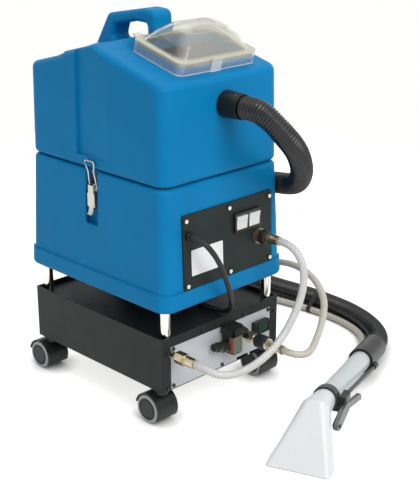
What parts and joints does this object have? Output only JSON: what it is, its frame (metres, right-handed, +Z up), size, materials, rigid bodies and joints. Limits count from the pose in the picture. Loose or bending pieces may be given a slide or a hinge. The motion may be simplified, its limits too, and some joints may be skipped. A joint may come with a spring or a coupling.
{
  "type": "upholstery cleaning machine",
  "caption": "Spray-extraction upholstery cleaner: stacked blue tanks with a clear lid on a black heater trolley, with a hand tool on its vacuum and spray hoses.",
  "frame": {"origin": "on the floor under the middle of the trolley", "axes": "+Z up, -Y out of the front with the control panel, +X to the right seen from the front"},
  "size_m": [0.6024, 0.7947, 0.662],
  "materials": {
    "blue_plastic": "satin rotomoulded skin",
    "black_paint": "satin black paint",
    "black_steel": "black oxide",
    "silver_sheet": "silver satin",
    "steel": "plain",
    "chrome": "bright",
    "brass": "machined",
    "black_plastic": "satin",
    "coil_plastic": "satin",
    "motor_grey": "satin",
    "wheel_grey": "grey tread on black hubs",
    "green_lens": "clear green",
    "white_plastic": "smooth",
    "grey_plastic": "satin",
    "clear_plastic": "clear, slightly yellow at its edges",
    "seal_rubber": "soft",
    "black_rubber": "smooth",
    "hose_plastic": "corrugated",
    "clear_hose": "clear with white braid"
  },
  "bodies": {
    "machine": {"cable_gland": "black_plastic", "control_panel": "black_plastic", "heater_panel": "silver_sheet", "heater_switch_frame": "black_plastic", "heater_vessel": "steel", "hose_cuff": "black_rubber", "hose_spigot": "black_plastic", "inlet_fitting": "brass", "latch_plate_left": "steel", "latch_plate_right": "steel", "lid_gasket": "seal_rubber", "link_hose": "clear_hose", "link_plug": "brass", "mains_coil": "black_rubber", "mains_lead": "black_rubber", "mains_plug": "black_plastic", "outlet_fitting": "brass", "panel_coupler": "brass", "panel_screws": "black_steel", "pump": "motor_grey", "recovery_tank": "blue_plastic", "separator_box": "black_plastic", "solenoid_body": "black_plastic", "solenoid_coil": "coil_plastic", "solution_tank": "blue_plastic", "spray_hose": "clear_hose", "spray_plug": "brass", "support_posts": "chrome", "switch_bezel": "black_plastic", "tank_seal": "seal_rubber", "tool_collar": "grey_plastic", "tool_cuff": "black_rubber", "tool_head": "white_plastic", "tool_valve": "black_plastic", "tool_wand": "white_plastic", "trolley_cover": "black_paint", "trolley_floor": "black_paint", "trolley_screws": "black_steel", "vacuum_hose": "hose_plastic", "vacuum_motor": "motor_grey"},
    "lid": {"lid": "clear_plastic"},
    "float": {"float_ball": "white_plastic"},
    "vacuum_switch": {"vacuum_rocker": "white_plastic"},
    "pump_switch": {"pump_rocker": "white_plastic"},
    "heater_switch": {"heater_rocker": "green_lens"},
    "panel_coupling_sleeve": {"coupler_sleeve": "black_plastic"},
    "outlet_coupling_sleeve": {"outlet_sleeve": "black_plastic"},
    "trigger": {"tool_trigger": "grey_plastic"},
    "latch_left": {"latch_lever_left": "chrome"},
    "bail_left": {"latch_bail_left": "chrome"},
    "latch_right": {"latch_lever_right": "chrome"},
    "bail_right": {"latch_bail_right": "chrome"},
    "castor_front_left": {"castor_hood_front_left": "black_plastic"},
    "wheels_front_left": {"castor_wheels_front_left": "wheel_grey"},
    "castor_front_right": {"castor_hood_front_right": "black_plastic"},
    "wheels_front_right": {"castor_wheels_front_right": "wheel_grey"},
    "castor_rear_left": {"castor_hood_rear_left": "black_plastic"},
    "wheels_rear_left": {"castor_wheels_rear_left": "wheel_grey"},
    "castor_rear_right": {"castor_hood_rear_right": "black_plastic"},
    "wheels_rear_right": {"castor_wheels_rear_right": "wheel_grey"}
  },
  "joints": [
    {"name": "swivel_front_left", "type": "hinge", "parent": "machine", "child": "castor_front_left", "pos_m": [-0.126, -0.149, 0.062], "axis": [0, 0, 1], "continuous": true},
    {"name": "roll_front_left", "type": "hinge", "parent": "castor_front_left", "child": "wheels_front_left", "pos_m": [-0.126, -0.1375, 0.025], "axis": [1, 0, 0], "continuous": true},
    {"name": "swivel_front_right", "type": "hinge", "parent": "machine", "child": "castor_front_right", "pos_m": [0.126, -0.149, 0.062], "axis": [0, 0, 1], "continuous": true},
    {"name": "roll_front_right", "type": "hinge", "parent": "castor_front_right", "child": "wheels_front_right", "pos_m": [0.126, -0.1375, 0.025], "axis": [1, 0, 0], "continuous": true},
    {"name": "swivel_rear_left", "type": "hinge", "parent": "machine", "child": "castor_rear_left", "pos_m": [-0.126, 0.149, 0.062], "axis": [0, 0, 1], "continuous": true},
    {"name": "roll_rear_left", "type": "hinge", "parent": "castor_rear_left", "child": "wheels_rear_left", "pos_m": [-0.126, 0.1605, 0.025], "axis": [1, 0, 0], "continuous": true},
    {"name": "swivel_rear_right", "type": "hinge", "parent": "machine", "child": "castor_rear_right", "pos_m": [0.126, 0.149, 0.062], "axis": [0, 0, 1], "continuous": true},
    {"name": "roll_rear_right", "type": "hinge", "parent": "castor_rear_right", "child": "wheels_rear_right", "pos_m": [0.126, 0.1605, 0.025], "axis": [1, 0, 0], "continuous": true},
    {"name": "lid_lift", "type": "slide", "parent": "machine", "child": "lid", "axis": [0, -0.2553, 0.9669], "range_m": [0, 0.06]},
    {"name": "float_rise", "type": "slide", "parent": "machine", "child": "float", "axis": [0, 0, 1], "range_m": [0, 0.13]},
    {"name": "vacuum_switch_rock", "type": "hinge", "parent": "machine", "child": "vacuum_switch", "pos_m": [0.0315, -0.17872, 0.32411], "axis": [1, 0, 0], "range_deg": [-14, 0]},
    {"name": "pump_switch_rock", "type": "hinge", "parent": "machine", "child": "pump_switch", "pos_m": [0.0615, -0.17872, 0.32411], "axis": [1, 0, 0], "range_deg": [-14, 0]},
    {"name": "heater_switch_rock", "type": "hinge", "parent": "machine", "child": "heater_switch", "pos_m": [0.093, -0.174, 0.1125], "axis": [0, 0, 1], "range_deg": [-14, 0]},
    {"name": "panel_sleeve_slide", "type": "slide", "parent": "machine", "child": "panel_coupling_sleeve", "axis": [0, 0.9993, -0.0363], "range_m": [0, 0.0044], "stiffness_N_per_m": 600},
    {"name": "outlet_sleeve_slide", "type": "slide", "parent": "machine", "child": "outlet_coupling_sleeve", "axis": [0, 1, 0], "range_m": [0, 0.004], "stiffness_N_per_m": 600},
    {"name": "trigger_squeeze", "type": "hinge", "parent": "machine", "child": "trigger", "pos_m": [0.02267, -0.40652, 0.033], "axis": [0.3698, -0.9291, 0], "range_deg": [0, 5], "stiffness_Nm_per_rad": 1},
    {"name": "latch_left_turn", "type": "hinge", "parent": "machine", "child": "latch_left", "pos_m": [-0.1325, 0.0035, 0.384], "axis": [0, 1, 0], "range_deg": [0, 110]},
    {"name": "bail_left_turn", "type": "hinge", "parent": "latch_left", "child": "bail_left", "pos_m": [-0.1305, 0.0035, 0.376], "axis": [0, 1, 0], "range_deg": [-110, 0]},
    {"name": "latch_right_turn", "type": "hinge", "parent": "machine", "child": "latch_right", "pos_m": [0.1325, 0.0035, 0.384], "axis": [0, -1, 0], "range_deg": [0, 110]},
    {"name": "bail_right_turn", "type": "hinge", "parent": "latch_right", "child": "bail_right", "pos_m": [0.1305, 0.0035, 0.376], "axis": [0, -1, 0], "range_deg": [-110, 0]}
  ],
  "couplings": [
    {"joint": "bail_left_turn", "follows": "latch_left_turn", "ratio": -1},
    {"joint": "bail_right_turn", "follows": "latch_right_turn", "ratio": -1}
  ]
}
